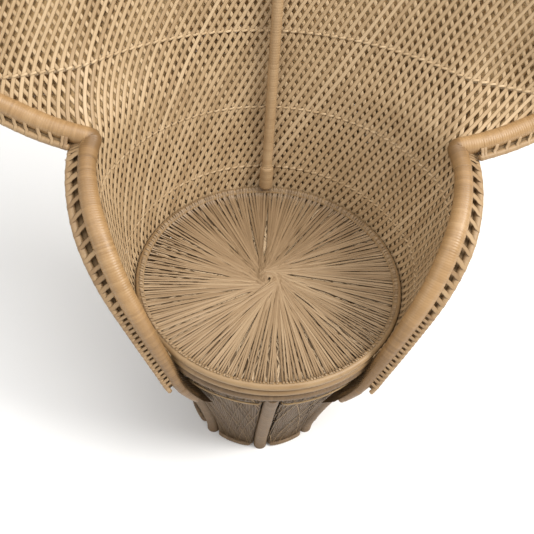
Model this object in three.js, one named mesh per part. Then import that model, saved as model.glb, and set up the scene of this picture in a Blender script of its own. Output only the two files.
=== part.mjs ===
// Wicker peacock chair: a round spun seat on a tapered base of eight posts,
// a tub of open diamond lattice around the seat, and a tall fan back.
// Units are millimetres, +Z is up, the chair faces -Y and +X is to the right
// as seen from the front. The seat axis is the working origin; the finished group
// is moved so that its origin is the middle of its footprint box on the floor.
import * as THREE from 'three';

// ---------------------------------------------------------------- dimensions
const SEAT_H = 405;            // top of the seat hoop above the floor
const SEAT_R = 250;            // centre-line radius of the seat hoops
const HOOP_R = 8;              // half thickness of a seat hoop
const HOOP_PITCH = 16.4;       // stacking pitch of the three seat hoops
const SHELL_R = 264;           // radius of the lattice tub at seat level
const OUTER_T = 2;             // thickness of the outer weave behind the ribs
const OUTER_GAP = 19.8;        // lattice to outer weave, middle to middle
const WEAVE_T = 2.6;           // thickness of a lattice panel
const SKIN_T = 4;              // thickness of the base weave
const ARM_ROLL_R = 18.2;       // half thickness of a wrapped arm roll at its thickest
const FAN_ROLL_R = 16;         // half thickness of the wrapped fan rim
const FAN_BORDER = 27.5;       // fan rim centre to border hoop centre
const BORDER_R = 4.5;          // half thickness of a border hoop
const LACE_T = 3;              // thickness of the border lacing
const POLE_R = 10.5;           // half thickness of the wrapped back pole
const RIB_R = 4.5;             // half thickness of a rear rib
const POST_R = 14;             // half thickness of a base post
const POST_COUNT = 8;
const BASE_SHIFT = 8;          // the floor ring sits this far behind the seat axis
const REAR_REACH = 32;         // the rear of the floor ring reaches back by this much more
const SKIN_BULGE = 5;          // base weave between two posts, outside their centre line
const SKIN_BACK = 18;          // base weave behind a post, from its centre line
const RING_Z = 130;            // height of the inner ring of the base
const FLOOR_R = 5.5;           // half thickness of the floor ring
const CLEAR = 0.6;             // gap between neighbouring pieces

// Lattice shell: every level section is a circular arc through the back line. After
// SHELL_TURN degrees it bends back outwards, at the radius WING_BEND, to the heading
// WING_HEADING and runs on straight into the wing.
const SHELL_RADIUS = [[-40, 264], [0, 264], [100, 294], [200, 329], [250, 353], [300, 440], [350, 525], [450, 640], [600, 740], [800, 850], [1060, 950]];
const SHELL_BACK = [[-40, 264], [0, 264], [100, 279], [250, 303], [350, 319], [600, 363], [1060, 446]];
const SHELL_TURN = [[250, 70], [262, 63], [285, 54], [315, 45], [350, 37], [450, 32], [600, 30], [1060, 26]];
const WING_HEADING = [[250, 4], [285, 5], [315, 11], [350, 19], [450, 26], [600, 28], [1060, 25]];
const WING_BEND = [[250, 40], [285, 50], [315, 110], [350, 190], [450, 300], [1060, 300]];
// Centre line of an arm roll: turn from straight back (degrees), reach, height over the seat.
const ARM_REACH = [[76, 339], [84, 332], [95, 322.5], [108, 311.5], [118, 302], [128, 287], [137, 274], [140.5, 269], [146, 244]];
const ARM_HEIGHT = [[76, 256], [84, 246], [95, 225], [108, 187], [118, 130], [128, 52], [137, -28], [146, -120]];
// How far the arm border is turned down from level.
const ARM_DROOP = [[76, 16], [95, 24], [108, 36], [114, 42], [121, 47], [130, 50], [146, 50]];
// Along the arm from 0 to 1: half thickness of the roll, and roll centre to border hoop centre.
const ARM_TAPER = [[0, 16], [0.12, 16.2], [0.25, 17.2], [0.4, ARM_ROLL_R], [0.52, ARM_ROLL_R], [0.64, 17.2], [0.75, 15.2], [0.86, 12.4], [1, 8]];
const ARM_BORDER = [[0, 31.5], [0.25, 35], [0.45, 38], [0.6, 32.5], [0.7, 27.8], [0.82, 23.6], [0.92, 20.4], [1, 18]];
// Centre line of the fan rim: half width and height over the seat.
const FAN_RIM = [[358, 266], [390, 272], [425, 281], [464, 295.5], [500, 315], [524, 350], [536, 400], [538, 470], [534, 560], [521, 650], [494, 745], [448, 835], [381, 912], [290, 970], [155, 1008], [0, 1020]];
const RIB_HEIGHTS = [45, 182, 340, 560, 790];
// Base profile: height and radius of a post's centre line.
const POST_PROFILE = [[0, 143], [22, 145], [75, 157], [130, 172], [200, 193], [255, 209], [300, 224], [330, 236], [355, 243]];

// ------------------------------------------------------------------- helpers
const V = (x, y, z) => new THREE.Vector3(x, y, z);
const RAD = Math.PI / 180;
const clamp = (x, a, b) => Math.min(b, Math.max(a, x));
const smooth = (a, b, x) => { const t = clamp((x - a) / (b - a), 0, 1); return t * t * (3 - 2 * t); };

// Smooth curve through a table of [x, y] rows.
function table(rows) {
  const n = rows.length;
  const slope = i => (rows[i + 1][1] - rows[i][1]) / (rows[i + 1][0] - rows[i][0]);
  const m = rows.map((r, i) => {
    if (i === 0) return slope(0);
    if (i === n - 1) return slope(n - 2);
    const a = rows[i][0] - rows[i - 1][0], b = rows[i + 1][0] - rows[i][0];
    return (slope(i) * a + slope(i - 1) * b) / (a + b);
  });
  return x => {
    if (x <= rows[0][0]) return rows[0][1];
    if (x >= rows[n - 1][0]) return rows[n - 1][1];
    let i = 0;
    while (x > rows[i + 1][0]) i++;
    const d = rows[i + 1][0] - rows[i][0], t = (x - rows[i][0]) / d, u = 1 - t;
    return u * u * (1 + 2 * t) * rows[i][1] + t * t * (3 - 2 * t) * rows[i + 1][1] + d * (t * u * u * m[i] - t * t * u * m[i + 1]);
  };
}
const shellRadius = table(SHELL_RADIUS), shellBack = table(SHELL_BACK), shellTurn = table(SHELL_TURN);
const wingHeading = table(WING_HEADING), wingBend = table(WING_BEND);
const armReach = table(ARM_REACH), armHeight = table(ARM_HEIGHT), armDroop = table(ARM_DROOP);
const armRadius = table(ARM_TAPER), armBorder = table(ARM_BORDER), postRadius = table(POST_PROFILE);
// Distance of a point of the base behind the seat axis, from its place on the plain round base.
const baseBack = (y, z) => y + (BASE_SHIFT + REAR_REACH * Math.max(0, y / postRadius(z)) ** 2) * (1 - smooth(0, 355, z));

// Fan shell: s is the distance around from the back line, h the height over the seat.
function fanPoint(s, h) {
  const r = shellRadius(h), turn = shellTurn(h) * RAD, head = wingHeading(h) * RAD, bend = wingBend(h);
  const far = Math.abs(s), sign = Math.sign(s), a = Math.min(far / r, turn);
  let x = r * Math.sin(a), y = shellBack(h) - r + r * Math.cos(a);
  if (far > r * turn) {
    const back = Math.min((far - r * turn) / bend, turn - head), b = turn - back, on = far - r * turn - back * bend;
    x += bend * (Math.sin(turn) - Math.sin(b)) + on * Math.cos(b);
    y += bend * (Math.cos(turn) - Math.cos(b)) - on * Math.sin(b);
  }
  return V(sign * x, y, SEAT_H + h);
}
// Tub shell: phi is the turn around the seat axis from straight back, in degrees.
function tubPoint(phi, h) {
  const a = phi * RAD, r = shellRadius(h), c = shellBack(h) - r;
  const ring = c * Math.cos(a) + Math.sqrt(r * r - c * c * Math.sin(a) ** 2);
  const p = clamp(Math.abs(phi), 76, 130);
  const arm = SHELL_R + Math.max(h, 0) * (armReach(p) - SHELL_R) / armHeight(p);
  const w = smooth(66, 82, Math.abs(phi));
  const q = ring * (1 - w) + arm * w;
  return V(q * Math.sin(a), q * Math.cos(a), SEAT_H + h);
}
// Outward normal of a shell by differences.
function shellNormal(f, a, b) {
  const e = 0.5;
  const n = f(a, b + e).sub(f(a, b - e)).cross(f(a + e, b).sub(f(a - e, b))).normalize();
  return n.y * f(a, b).y + n.x * f(a, b).x < 0 ? n.negate() : n;
}

class Path extends THREE.Curve {
  constructor(f) { super(); this.f = f; }
  getPoint(t, target = new THREE.Vector3()) { return target.copy(this.f(t)); }
}
const mirror = f => t => { const p = f(t); p.x = -p.x; return p; };
const tangent = (f, t) => f(Math.min(1, t + 1e-3)).sub(f(Math.max(0, t - 1e-3))).normalize();

function rod(f, radius, sides, steps) {
  const shape = new THREE.Shape();
  for (let i = 0; i < sides; i++) {
    const a = 2 * Math.PI * (i + 0.5) / sides;
    if (i === 0) shape.moveTo(radius * Math.cos(a), radius * Math.sin(a));
    else shape.lineTo(radius * Math.cos(a), radius * Math.sin(a));
  }
  shape.closePath();
  return new THREE.ExtrudeGeometry(shape, { steps, bevelEnabled: false, extrudePath: new Path(f) });
}
// A rod whose half thickness changes along its path, radius(t) in place of base.
function tapered(f, radius, base, sides, steps) {
  const g = rod(f, base, sides, steps), path = new Path(f), p = g.attributes.position, v = V(0, 0, 0);
  const rings = [];
  for (let i = 0; i <= steps; i++) rings.push([path.getPointAt(i / steps), radius(path.getUtoTmapping(i / steps)) / base]);
  for (let j = 0; j < p.count; j++) {
    v.fromBufferAttribute(p, j);
    const [c, k] = rings.reduce((a, b) => b[0].distanceToSquared(v) < a[0].distanceToSquared(v) ? b : a);
    v.sub(c).multiplyScalar(k).add(c);
    p.setXYZ(j, v.x, v.y, v.z);
  }
  return g;
}
// A thin box bent onto a surface: point(u, v) and normal(u, v) with u, v from 0 to 1.
// Both faces are split along the same diagonals, mirrored for k = -1.
function sheet(point, normal, thick, nu, nv, k = 1) {
  const g = new THREE.BoxGeometry(1, 1, 1, nu, nv, 1);
  const p = g.attributes.position, q = g.index, face = g.groups[k > 0 ? 5 : 4];
  for (let i = face.start; i < face.start + face.count; i += 6) {
    const a = q.getX(i), b = q.getX(i + 1), c = q.getX(i + 4), d = q.getX(i + 2);
    [a, b, c, a, c, d].forEach((v, j) => q.setX(i + j, v));
  }
  for (let i = 0; i < p.count; i++) {
    const u = clamp(p.getX(i) + 0.5, 0, 1), v = clamp(p.getY(i) + 0.5, 0, 1), w = p.getZ(i);
    const q = point(u, v).addScaledVector(normal(u, v), w * thick);
    p.setXYZ(i, q.x, q.y, q.z);
  }
  return g;
}
// Ring of round section, turned about the vertical axis.
function hoop(radius, half, z, sides, around) {
  const pts = [];
  for (let i = 0; i <= sides; i++) {
    const a = 2 * Math.PI * ((i % sides) + 0.5) / sides;
    pts.push(new THREE.Vector2(radius + half * Math.cos(a), half * Math.sin(a)));
  }
  return turned(pts, z, around);
}
function turned(pts, z, around) {
  const g = new THREE.LatheGeometry(pts, around);
  g.rotateX(Math.PI / 2);
  g.translate(0, 0, z);
  return g;
}
// Moves each level of a turned piece back with the base.
function shiftLevels(g) {
  const p = g.attributes.position;
  for (let i = 0; i < p.count; i++) p.setY(i, baseBack(p.getY(i), p.getZ(i)));
  return g;
}

const chair = new THREE.Group();
const LOOKS = {
  roll: { color: 0xcda069, roughness: 0.55 },
  cane: { color: 0xc8aa7d, roughness: 0.6 },
  seat: { color: 0xb9966e, roughness: 0.6 },
  base: { color: 0x8c7252, roughness: 0.7 },
  hoop: { color: 0xc49a62, roughness: 0.55 },
};
function add(name, geometry, look) {
  geometry.computeVertexNormals();
  const mesh = new THREE.Mesh(geometry, new THREE.MeshStandardMaterial({ ...LOOKS[look], metalness: 0 }));
  mesh.name = name;
  chair.add(mesh);
}
function pair(name, make, look) {
  add(`${name}_right`, make(1), look);
  add(`${name}_left`, make(-1), look);
}

// ---------------------------------------------------------------------- seat
const AROUND = 36;
['upper', 'middle', 'lower'].forEach((n, i) => add(`seat_hoop_${n}`, hoop(SEAT_R, HOOP_R, SEAT_H - HOOP_R - i * HOOP_PITCH, 6, AROUND), 'hoop'));
const discR = SEAT_R - HOOP_R - 0.5;
const disc = (z0, z1) => turned([new THREE.Vector2(0, z0), new THREE.Vector2(discR, z0), new THREE.Vector2(discR, z1), new THREE.Vector2(0, z1)], 0, AROUND);
add('seat_weave_top', disc(SEAT_H - 11.5, SEAT_H - 7), 'seat');
add('seat_weave_under', disc(SEAT_H - 16.6, SEAT_H - 12.1), 'seat');
const barLength = 2 * (SEAT_R - HOOP_R - 2.5);
const sideBar = new THREE.BoxGeometry(barLength, 26, 13);
sideBar.translate(0, 0, SEAT_H - 17.2 - 6.5);
add('seat_cross_bar_side', sideBar, 'base');
const frontBar = new THREE.BoxGeometry(26, barLength, 13);
frontBar.translate(0, 0, SEAT_H - 17.2 - 13 - CLEAR - 6.5);
add('seat_cross_bar_front', frontBar, 'base');

// ---------------------------------------------------------------------- base
const postTop = SEAT_H - 2 * HOOP_PITCH - 2 * HOOP_R - CLEAR;
for (let k = 0; k < POST_COUNT; k++) {
  const a = 2 * Math.PI * k / POST_COUNT;
  const f = t => {
    const z = postTop * (1 - t), r = postRadius(z);
    return V(r * Math.sin(a), baseBack(-r * Math.cos(a), z), z);
  };
  const g = rod(f, POST_R, 6, 11);
  const p = g.attributes.position;
  for (let i = 0; i < p.count; i++) {
    if (p.getZ(i) < 2) p.setZ(i, 0);
    if (p.getZ(i) > postTop - 12 && p.getZ(i) > 330) p.setZ(i, Math.min(p.getZ(i), postTop));
  }
  add(`base_post_${k + 1}`, g, 'base');
}
// The base weave bulges out between the posts and passes behind each of them.
const lean = z => Math.hypot(1, (postRadius(z + 1) - postRadius(z - 1)) / 2);
const WAVE = 10;
function wavePoint(i, z, back) {
  const n = WAVE * POST_COUNT, k = (i % n + n) % n, m = k % WAVE;
  const near = Math.min(m, WAVE - m), hand = m <= WAVE / 2 ? 1 : -1;
  const a = 2 * Math.PI * (Math.floor(k / WAVE) + (hand < 0 ? 1 : 0)) / POST_COUNT, r = postRadius(z), slope = lean(z);
  if (near === WAVE / 2) {
    const mid = a + Math.PI / POST_COUNT;
    return [(r + SKIN_BULGE * slope) * Math.sin(mid), -(r + SKIN_BULGE * slope) * Math.cos(mid)];
  }
  const turn = [0, 33, 63, 90][Math.min(near, 3)] * RAD;
  const across = hand * (near < 4 ? back * Math.sin(turn) : back + 5);
  const out = near < 4 ? -back * Math.cos(turn) : SKIN_BULGE;
  const u = r + out * slope;
  return [u * Math.sin(a) + across * Math.cos(a), -u * Math.cos(a) + across * Math.sin(a)];
}
// Sweeps a closed section of [outward, height] rows around the base along that wavy path.
function waved(rows, back) {
  const n = WAVE * POST_COUNT;
  const g = new THREE.LatheGeometry(rows.map(r => new THREE.Vector2(500 + r[0], r[1])), n);
  const p = g.attributes.position;
  for (let j = 0; j < p.count; j++) {
    const i = Math.floor(j / rows.length), [off, z] = rows[j % rows.length];
    const c = wavePoint(i, z, back), b = wavePoint(i - 1, z, back), d = wavePoint(i + 1, z, back);
    const tx = d[0] - b[0], ty = d[1] - b[1], l = Math.hypot(tx, ty);
    p.setXYZ(j, c[0] + off * ty / l, baseBack(c[1] - off * tx / l, z), z);
  }
  return g;
}
function skin(z0, z1, n) {
  const rows = [];
  for (let i = 0; i <= n; i++) rows.push([SKIN_T / 2, z0 + (z1 - z0) * i / n]);
  for (let i = n; i >= 0; i--) rows.push([-SKIN_T / 2, z0 + (z1 - z0) * i / n]);
  rows.push(rows[0]);
  return waved(rows, SKIN_BACK);
}
add('base_weave', skin(2 * FLOOR_R + 2, 349, 12), 'base');
const round = [0, 1, 2, 3, 4, 5, 0].map(i => 2 * Math.PI * (i + 0.5) / 6);
add('floor_ring', waved(round.map(a => [FLOOR_R * Math.cos(a), FLOOR_R + 0.5 + FLOOR_R * Math.sin(a)]), POST_R + FLOOR_R + 1.5), 'hoop');
add('base_inner_ring', shiftLevels(hoop(postRadius(RING_Z) - 33, 7, RING_Z, 6, 28)), 'hoop');

// -------------------------------------------------------- edge rolls, borders
const ARM_0 = 76, ARM_1 = 146;
const armAxis = t => {
  const p = ARM_0 + (ARM_1 - ARM_0) * t, r = armReach(p);
  return V(r * Math.sin(p * RAD), r * Math.cos(p * RAD), SEAT_H + armHeight(p));
};
const armOut = t => {
  const p = ARM_0 + (ARM_1 - ARM_0) * t, d = armDroop(p) * RAD;
  const out = V(Math.sin(p * RAD) * Math.cos(d), Math.cos(p * RAD) * Math.cos(d), -Math.sin(d));
  const along = tangent(armAxis, t);
  return out.addScaledVector(along, -out.dot(along)).normalize();
};
// One row past the top keeps the rim level where its two halves meet.
const before = FAN_RIM[FAN_RIM.length - 2];
const rimRows = [...FAN_RIM, [-before[0], before[1]]];
const rimLength = [0];
for (let i = 1; i < rimRows.length; i++) rimLength.push(rimLength[i - 1] + Math.hypot(rimRows[i][0] - rimRows[i - 1][0], rimRows[i][1] - rimRows[i - 1][1]));
const rimX = table(rimRows.map((p, i) => [rimLength[i], p[0]])), rimH = table(rimRows.map((p, i) => [rimLength[i], p[1]]));
const rimEnd = rimLength[FAN_RIM.length - 1];
const rimS = t => {
  const h = rimH(t * rimEnd), x = rimX(t * rimEnd);
  let lo = -50, hi = 1000;
  for (let i = 0; i < 50; i++) { const mid = (lo + hi) / 2; if (fanPoint(mid, h).x < x) lo = mid; else hi = mid; }
  return [(lo + hi) / 2, h];
};
const fanAxis = t => { const [s, h] = rimS(t); return fanPoint(s, h); };
const fanOut = t => {
  const [s, h] = rimS(t);
  const along = tangent(fanAxis, t), n = shellNormal(fanPoint, s, h);
  const out = along.clone().cross(n).normalize();
  const toMiddle = fanPoint(0, 620).sub(fanAxis(t));
  return out.dot(toMiddle) > 0 ? out.negate() : out;
};
const offset = (axis, out, d) => t => axis(t).addScaledVector(out(t), d(t));
const fanRadius = () => FAN_ROLL_R, fanBorder = () => FAN_BORDER;
const part = (f, a, b) => t => f(a + (b - a) * t);
const side = (f, k) => k > 0 ? f : mirror(f);
function lace(axis, out, roll, border, k, steps) {
  const n = t => tangent(axis, t).cross(out(t)).normalize();
  const inner = t => roll(t) + 3 * CLEAR, outer = t => border(t) - BORDER_R - 3 * CLEAR;
  const m = v => k > 0 ? v : V(-v.x, v.y, v.z);
  const at = (u, v) => { const t = k > 0 ? u : 1 - u; return m(axis(t).addScaledVector(out(t), inner(t) + (outer(t) - inner(t)) * v)); };
  return sheet(at, (u, v) => m(n(k > 0 ? u : 1 - u)), LACE_T, steps, 1, k);
}
pair('arm_roll', k => tapered(side(armAxis, k), armRadius, ARM_ROLL_R, 8, 16), 'roll');
pair('arm_border_hoop', k => rod(side(offset(part(armAxis, 0.085, 0.92), part(armOut, 0.085, 0.92), part(armBorder, 0.085, 0.92)), k), BORDER_R, 6, 17), 'hoop');
pair('arm_border_lacing', k => lace(part(armAxis, 0.1, 0.9), part(armOut, 0.1, 0.9), part(armRadius, 0.1, 0.9), part(armBorder, 0.1, 0.9), k, 18), 'cane');
pair('fan_rim', k => rod(side(part(fanAxis, 0.008, 0.9994), k), FAN_ROLL_R, 8, 28), 'roll');
pair('fan_border_hoop', k => rod(side(offset(part(fanAxis, 0.03, 0.9994), part(fanOut, 0.03, 0.9994), fanBorder), k), BORDER_R, 6, 28), 'hoop');
pair('fan_border_lacing', k => lace(part(fanAxis, 0.045, 0.974), part(fanOut, 0.045, 0.974), fanRadius, fanBorder, k, 30), 'cane');

// Binding sleeve around a roll between two points of its path.
function sleeve(axis, a, b, inner, outer) {
  const p = axis(a), q = axis(b), mid = p.clone().add(q).multiplyScalar(0.5), half = p.distanceTo(q) / 2;
  const pts = [[inner, -half], [outer, -half], [outer, half], [inner, half], [inner, -half]].map(c => new THREE.Vector2(c[0], c[1]));
  const g = new THREE.LatheGeometry(pts, 12);
  g.applyQuaternion(new THREE.Quaternion().setFromUnitVectors(V(0, 1, 0), q.clone().sub(p).normalize()));
  g.translate(mid.x, mid.y, mid.z);
  return g;
}
pair('notch_binding', k => sleeve(side(armAxis, k), 0.005, 0.06, armRadius(0.03) + 1.5, armRadius(0.03) + 3.5), 'cane');
pair('arm_end_binding', k => sleeve(side(armAxis, k), 0.94, 0.99, armRadius(0.94) + 1.5, armRadius(0.94) + 3.5), 'cane');
const topAxis = t => V(-26 + 52 * t, fanAxis(1).y, fanAxis(1).z - 0.3);
add('fan_top_binding', sleeve(topAxis, 0, 1, FAN_ROLL_R + 1.8, FAN_ROLL_R + 4), 'cane');

// ---------------------------------------------------------------- back frame
const poleEnd = FAN_RIM[FAN_RIM.length - 1][1] - FAN_ROLL_R - 8;
const poleAxis = t => {
  const h = 4 + (poleEnd - 4) * t;
  return fanPoint(0, h).addScaledVector(shellNormal(fanPoint, 0, h), -(7 + POLE_R));
};
add('back_center_pole', rod(poleAxis, POLE_R, 8, 12), 'roll');
add('pole_foot_binding', sleeve(poleAxis, 0.008, 0.05, POLE_R + 1.8, POLE_R + 3.8), 'cane');

const keepOut = [];
for (let i = 0; i <= 240; i++) keepOut.push([armAxis(i / 240), armRadius(i / 240)], [fanAxis(i / 240), FAN_ROLL_R]);
const clearOf = (p, d, list = keepOut) => list.every(([q, r]) => q.distanceToSquared(p) > (r + d) ** 2);
// Farthest value from a towards b, in fine steps, for which the point stays clear of the rolls.
function reach(f, a, b, d, step = 0.5, list = keepOut) {
  const n = Math.ceil(Math.abs(b - a) / step);
  let last = a;
  for (let i = 0; i <= n; i++) {
    const x = a + (b - a) * i / n;
    if (!clearOf(f(x), d, list)) break;
    last = x;
  }
  return last;
}
const ribGap = 4.6 + RIB_R;
RIB_HEIGHTS.forEach((h, i) => {
  let f;
  if (h < 250) {
    const end = reach(p => tubPoint(p, h), 0, 118, 14);
    f = t => { const p = end * (2 * t - 1); return tubPoint(p, h).addScaledVector(shellNormal(tubPoint, p, h), ribGap); };
  } else {
    const end = reach(s => fanPoint(s, h), 0, 700, 6);
    f = t => { const s = end * (2 * t - 1); return fanPoint(s, h).addScaledVector(shellNormal(fanPoint, s, h), ribGap); };
  }
  add(`back_rib_${i + 1}`, rod(f, RIB_R, 5, h < 250 ? 22 : 26), 'hoop');
});

// ------------------------------------------------------------ lattice panels
const EDGE = 4.5;
const SPLIT_PHI = 62, SPLIT_H = 249, SPLIT_S = 215, TUB_BOTTOM = -14;
// A panel on the right-hand side, mirrored for the left by running it the other way round.
function panel(f, lo, hi, a, b, k, nu, nv, thick = WEAVE_T, ease = 1) {
  const at = u => k > 0 ? a + (b - a) * u : b + (a - b) * u;
  const cache = new Map();
  const span = c => {
    if (!cache.has(c)) cache.set(c, [lo(c), hi(c)]);
    return cache.get(c);
  };
  const m = v => k > 0 ? v : V(-v.x, v.y, v.z);
  const par = (u, v) => { const c = at(u), [p, q] = span(c); return [c, p + (q - p) * v ** ease]; };
  const n = (c, h) => shellNormal(f, c, h);
  return sheet((u, v) => m(f(...par(u, v))), (u, v) => m(n(...par(u, v)).negate()), thick, nu, nv, k);
}
const upTo = (f, c, a, b) => reach(h => f(c, h), a, b, EDGE);
pair('back_weave', k => panel(tubPoint, () => TUB_BOTTOM, () => SPLIT_H, 0.15, SPLIT_PHI, k, 8, 5), 'cane');
pair('arm_weave', k => panel(tubPoint, () => TUB_BOTTOM, c => upTo(tubPoint, c, TUB_BOTTOM, SPLIT_H) - 1, SPLIT_PHI + 0.15, 129, k, 12, 4), 'cane');
const fanLow = s => SPLIT_H + CLEAR;
pair('fan_weave_center', k => panel(fanPoint, fanLow, s => upTo(fanPoint, s, 500, 1010) - 1, 0.35, SPLIT_S, k, 4, 8), 'cane');
const wingEnd = reach(s => fanPoint(s, 560), 0, 700, EDGE) - 3;
const wingLow = s => { const h = reach(h => fanPoint(s, h), 560, SPLIT_H + CLEAR, EDGE); return h + (h > SPLIT_H + 2 ? 1.5 : 0); };
pair('fan_weave_wing', k => panel(fanPoint, wingLow, s => upTo(fanPoint, s, 560, 1010) - 1.5, SPLIT_S + CLEAR, wingEnd, k, 14, 10), 'cane');

// ------------------------------------------------- outer weave behind the ribs
const fanBack = (s, h) => fanPoint(s, h).addScaledVector(shellNormal(fanPoint, s, h), OUTER_GAP);
// Its lower edge draws in against the seat hoops.
const outerDraw = table([[-40, -1.5], [-14, 6], [34, OUTER_GAP]]);
const tubBack = (p, h) => tubPoint(p, h).addScaledVector(shellNormal(tubPoint, p, h), outerDraw(h));
// Kept off the rolls with their bindings, the border hoops and the lacing.
const outerKeep = [];
for (let i = 0; i <= 240; i++) {
  const t = i / 240;
  outerKeep.push([armAxis(t), armRadius(t) + 3.5], [fanAxis(t), FAN_ROLL_R + 4]);
  outerKeep.push([offset(armAxis, armOut, armBorder)(t), BORDER_R]);
  for (const v of [0.2, 0.5, 0.8]) outerKeep.push([offset(armAxis, armOut, u => armRadius(u) + (armBorder(u) - armRadius(u)) * v)(t), 4]);
  outerKeep.push([offset(fanAxis, fanOut, fanBorder)(t), BORDER_R]);
}
const OUTER_EDGE = OUTER_T / 2 + 1.5, OUTER_BOTTOM = -38;
const outerReach = (f, a, b) => reach(f, a, b, OUTER_EDGE, 0.5, outerKeep);
pair('tub_outer_weave', k => panel(tubBack, () => OUTER_BOTTOM, p => outerReach(h => tubBack(p, h), OUTER_BOTTOM, SPLIT_H - 5) - 1, 0.15, 116, k, 22, 8, OUTER_T, 1.3), 'cane');
const outerEnd = outerReach(s => fanBack(s, 560), 0, 700) - 3;
const outerLow = s => { const h = outerReach(h => fanBack(s, h), 560, SPLIT_H + CLEAR); return h + (h > SPLIT_H + 2 ? 1.5 : 0); };
pair('fan_outer_weave', k => panel(fanBack, outerLow, s => outerReach(h => fanBack(s, h), 560, 1010) - 1.5, 0.35, outerEnd, k, 18, 16, OUTER_T, 1.6), 'cane');

// ------------------------------------------------------------------ placement
const box = new THREE.Box3().setFromObject(chair);
chair.position.set(0, -(box.min.y + box.max.y) / 2, -box.min.z);
const root = new THREE.Group();
root.add(chair);
root.updateMatrixWorld(true);

export default root;
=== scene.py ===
import math

import bpy
import numpy as np
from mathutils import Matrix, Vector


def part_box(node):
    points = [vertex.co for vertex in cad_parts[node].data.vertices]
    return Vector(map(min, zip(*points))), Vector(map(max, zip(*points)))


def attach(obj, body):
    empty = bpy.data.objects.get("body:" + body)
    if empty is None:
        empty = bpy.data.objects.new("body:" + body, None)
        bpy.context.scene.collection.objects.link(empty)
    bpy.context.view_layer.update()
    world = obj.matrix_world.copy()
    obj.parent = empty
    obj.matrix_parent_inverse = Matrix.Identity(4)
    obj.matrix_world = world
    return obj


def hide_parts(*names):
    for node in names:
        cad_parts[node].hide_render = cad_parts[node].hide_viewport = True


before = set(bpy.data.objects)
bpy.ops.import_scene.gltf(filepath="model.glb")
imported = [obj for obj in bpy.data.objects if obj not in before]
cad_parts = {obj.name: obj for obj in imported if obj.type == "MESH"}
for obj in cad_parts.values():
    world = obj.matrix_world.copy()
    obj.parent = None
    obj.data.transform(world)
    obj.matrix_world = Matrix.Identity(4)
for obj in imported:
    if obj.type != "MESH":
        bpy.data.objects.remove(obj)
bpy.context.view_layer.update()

rng = np.random.default_rng(4117)

# The drawing is in millimetres about the seat axis, as in the CAD source; make() turns it into metres and moves it by
# SHIFT_Y onto the imported parts.
MM = 0.001
_lo, _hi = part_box("seat_hoop_upper")
SHIFT_Y = 0.5 * (_lo[1] + _hi[1])

SEAT_H, SEAT_R, HOOP_R, HOOP_PITCH, SHELL_R = 405.0, 250.0, 8.0, 16.4, 264.0
FAN_ROLL_R, FAN_BORDER, BORDER_R = 16.0, 27.5, 4.5
POLE_R, RIB_R, POST_R, POST_COUNT, BASE_SHIFT, REAR_REACH, RING_Z = 10.5, 4.5, 14.0, 8, 8.0, 32.0, 130.0
RIB_HEIGHTS = (45.0, 182.0, 340.0, 560.0, 790.0)


# --------------------------------------------------------------------- shapes
def table(rows):
    xs = np.array([r[0] for r in rows], float)
    ys = np.array([r[1] for r in rows], float)
    n = len(xs)
    sl = np.diff(ys) / np.diff(xs)
    m = np.zeros(n)
    m[0], m[-1] = sl[0], sl[-1]
    for i in range(1, n - 1):
        a, b = xs[i] - xs[i - 1], xs[i + 1] - xs[i]
        m[i] = (sl[i] * a + sl[i - 1] * b) / (a + b)

    def f(x):
        x = np.clip(np.asarray(x, float), xs[0], xs[-1])
        i = np.clip(np.searchsorted(xs, x, side="left") - 1, 0, n - 2)
        d = xs[i + 1] - xs[i]
        t = (x - xs[i]) / d
        u = 1 - t
        return u * u * (1 + 2 * t) * ys[i] + t * t * (3 - 2 * t) * ys[i + 1] + d * (t * u * u * m[i] - t * t * u * m[i + 1])

    return f


def smooth(a, b, x):
    t = np.clip((np.asarray(x, float) - a) / (b - a), 0, 1)
    return t * t * (3 - 2 * t)


def unit(v):
    return v / np.maximum(np.linalg.norm(v, axis=-1, keepdims=True), 1e-12)


shell_radius = table([(-40, 264), (0, 264), (100, 294), (200, 329), (250, 353), (300, 440), (350, 525), (450, 640), (600, 740), (800, 850), (1060, 950)])
shell_back = table([(-40, 264), (0, 264), (100, 279), (250, 303), (350, 319), (600, 363), (1060, 446)])
shell_turn = table([(250, 70), (262, 63), (285, 54), (315, 45), (350, 37), (450, 32), (600, 30), (1060, 26)])
wing_heading = table([(250, 4), (285, 5), (315, 11), (350, 19), (450, 26), (600, 28), (1060, 25)])
wing_bend = table([(250, 40), (285, 50), (315, 110), (350, 190), (450, 300), (1060, 300)])
arm_reach = table([(76, 339), (84, 332), (95, 322.5), (108, 311.5), (118, 302), (128, 287), (137, 274), (140.5, 269), (146, 244)])
arm_height = table([(76, 256), (84, 246), (95, 225), (108, 187), (118, 130), (128, 52), (137, -28), (146, -120)])
arm_droop = table([(76, 16), (95, 24), (108, 36), (114, 42), (121, 47), (130, 50), (146, 50)])
arm_taper = table([(0, 16), (0.12, 16.2), (0.25, 17.2), (0.4, 18.2), (0.52, 18.2), (0.64, 17.2), (0.75, 15.2), (0.86, 12.4), (1, 8)])
arm_border = table([(0, 31.5), (0.25, 35), (0.45, 38), (0.6, 32.5), (0.7, 27.8), (0.82, 23.6), (0.92, 20.4), (1, 18)])
post_radius = table([(0, 143), (22, 145), (75, 157), (130, 172), (200, 193), (255, 209), (300, 224), (330, 236), (355, 243)])
FAN_RIM = [(358, 266), (390, 272), (425, 281), (464, 295.5), (500, 315), (524, 350), (536, 400), (538, 470), (534, 560), (521, 650), (494, 745), (448, 835), (381, 912), (290, 970), (155, 1008), (0, 1020)]


def base_back(y, z):
    return y + (BASE_SHIFT + REAR_REACH * np.maximum(0, y / post_radius(z)) ** 2) * (1 - smooth(0, 355, z))


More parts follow.
